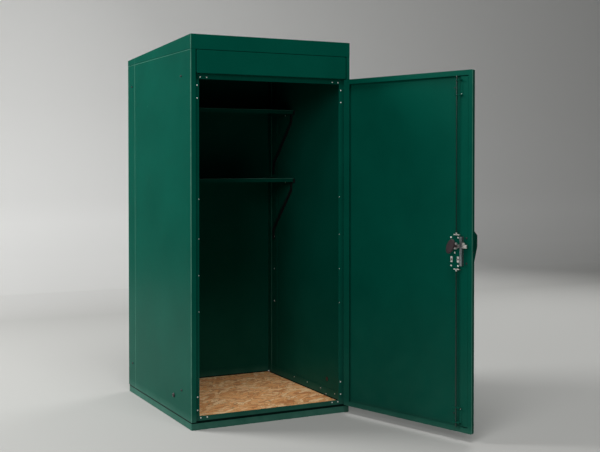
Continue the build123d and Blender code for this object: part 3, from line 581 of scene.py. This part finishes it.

# screws on the lock case, and dark heads in the lugs: painted shade for the dark inside of the lug holes
inward = (0, 1)
lockScrews = {
    "radius": 5.0,
    "height": 2.4,
    "behind": 24.0,
    "places": ((807.0, 1087.0), (854.0, 1087.5), (832.0, 1006.0), (808.0, 936.0), (854.0, 936.0)),
}
spots = onDoor(lockScrews["behind"], inward, lockScrews["places"])
placeHeads("lockScrews", screwOutline, lockScrews, spots, rivetAlloy, "door")
# dark heads in the lug holes, painted shade
lugHoleShades = {"radius": 4.4, "height": 1.4, "behind": 28.0, "places": ((813.0, 971.0), (856.0, 971.0))}
spots = onDoor(lugHoleShades["behind"], inward, lugHoleShades["places"])
placeHeads("lugHoleShades", screwOutline, lugHoleShades, spots, blackPlastic, "door")

# dark screws of the pull handle, dark round heads on the skin, and rivets of the rod guides
handleScrews = {"radius": 6.0, "height": 1.8, "behind": 20.0, "places": ((906.5, 1087.0), (906.5, 952.0))}
spots = onDoor(handleScrews["behind"], inward, handleScrews["places"])
placeHeads("handleScrews", screwOutline, handleScrews, spots, blackPlastic, "door")
skinDarkHeads = {"radius": 4.4, "height": 2.2, "behind": 1.2, "places": ((811.0, 1889.0), (811.0, 138.0))}
spots = onDoor(skinDarkHeads["behind"], inward, skinDarkHeads["places"])
placeHeads("skinDarkHeads", screwOutline, skinDarkHeads, spots, blackPlastic, "door")
guideRivets = {"radius": 2.4, "height": 1.0, "behind": 22.0, "places": ((871.5, 1853.0), (871.5, 172.0))}
spots = onDoor(guideRivets["behind"], inward, guideRivets["places"])
placeHeads("guideRivets", screwOutline, guideRivets, spots, rivetAlloy, "door")

# plastic caps in the free edge of the door
edgeCaps = {"radius": 3.4, "height": 0.8, "behind": 10.0, "levels": (1944.0, 1014.0, 85.0)}
spots = onDoor(edgeCaps["behind"], (-1, 0), [(door["width"], level) for level in edgeCaps["levels"]])
placeHeads("edgeCaps", screwOutline, edgeCaps, spots, maroonPlastic, "door")
print("stage: fixings")

# Studio, in metres: a pale floor that grows paler with distance, a painted light standing in for the lamps'
# light that fades away from the shed, and a curved backdrop
studio = {"nearTone": "#AAAAA7", "farTone": "#F0F0EE", "farFrom": 4.0, "farTo": 8.0, "roughness": 0.85}
floorSheets = {
    "studioFloor": {"line": ((-9.0, 0.0), (6.0, 0.0)), "left": -9.0, "width": 39.0},
    "studioBackdrop": {
        "line": ((6.0, 0.0), (7.4, 0.25), (8.4, 1.0), (9.0, 2.4), (9.0, 12.0)),
        "left": -1.5,
        "width": 31.5,
    },
}


def makePaleFloor():
    # matt paper sheet, rough enough not to shine at a low angle
    material, tree, shader, place = newMaterial("paleFloor")
    far = addNode(tree, "SeparateXYZ", None, {"Vector": place})
    distance = {"From Min": studio["farFrom"], "From Max": studio["farTo"]}
    # painted light: the floor grows paler from 4 m to 8 m away
    far = addNode(tree, "MapRange", distance, {"Value": far.outputs["Y"]})
    tone = addNode(tree, "Mix", {"data_type": "RGBA", 6: studio["nearTone"], 7: studio["farTone"]}, {0: far})
    setNode(shader, {"Roughness": studio["roughness"]}, {"Base Color": tone.outputs[2]})
    return material


def makeFloor():
    for name, values in floorSheets.items():
        mesh = bmesh.new()
        points = [(values["left"], y, z) for y, z in values["line"]]
        extrudeLine(mesh, points, (values["width"], 0.0, 0.0))
        bmesh.ops.recalc_face_normals(mesh, faces=mesh.faces)
        sheet = addPiece(name, mesh, paleFloor, True)


paleFloor = makePaleFloor()
makeFloor()

# Soft lights, in metres and watts
lights = {
    "softLeft": {"place": (-5.8, 3.6, 4.6), "target": (-0.3, 0.0, 1.1), "size": 3.6, "power": 700},
    "softFront": {"place": (-5.0, -5.2, 3.6), "target": (0.0, -0.3, 1.0), "size": 3.0, "power": 150},
    "softTop": {"place": (-0.9, -3.6, 7.4), "target": (0.0, -0.4, 0.3), "size": 3.4, "power": 290},
    "softRight": {"place": (5.6, 3.2, 4.6), "target": (0.3, -0.2, 1.0), "size": 4.0, "power": 200},
}
for name, values in lights.items():
    lamp = bpy.data.lights.new(name, "AREA")
    lamp.shape = "DISK"
    lamp.size = values["size"]
    lamp.energy = values["power"]
    holder = bpy.data.objects.new(name, lamp)
    holder.location = values["place"]
    aim = Vector(values["target"]) - Vector(values["place"])
    holder.rotation_euler = aim.to_track_quat("-Z", "Y").to_euler()
    bpy.context.scene.collection.objects.link(holder)

world = bpy.data.worlds.new("studioWorld")
world.use_nodes = True
setNode(world.node_tree.nodes["Background"], {"Color": "#E6E7E7", "Strength": 0.12})
bpy.context.scene.world = world
bpy.context.scene.view_settings.view_transform = "Standard"

# Camera fitted to the photograph, in metres and degrees
camera = {
    "place": (-2.5269, -5.9438, 1.4748),
    "lens": 62.05,
    "sensorWidth": 36.0,
    "shiftY": -0.0669,
    "pitchDown": 1.15,
    "yawRight": 26.68,
    "clipEnd": 100.0,
}
view = bpy.data.cameras.new("photoCamera")
view.sensor_width = camera["sensorWidth"]
view.lens = camera["lens"]
view.shift_y = camera["shiftY"]
view.clip_end = camera["clipEnd"]
holder = bpy.data.objects.new("photoCamera", view)
holder.location = camera["place"]
holder.rotation_euler = (math.radians(90 - camera["pitchDown"]), 0.0, -math.radians(camera["yawRight"]))
bpy.context.scene.collection.objects.link(holder)
bpy.context.scene.camera = holder
print("stage: studio")
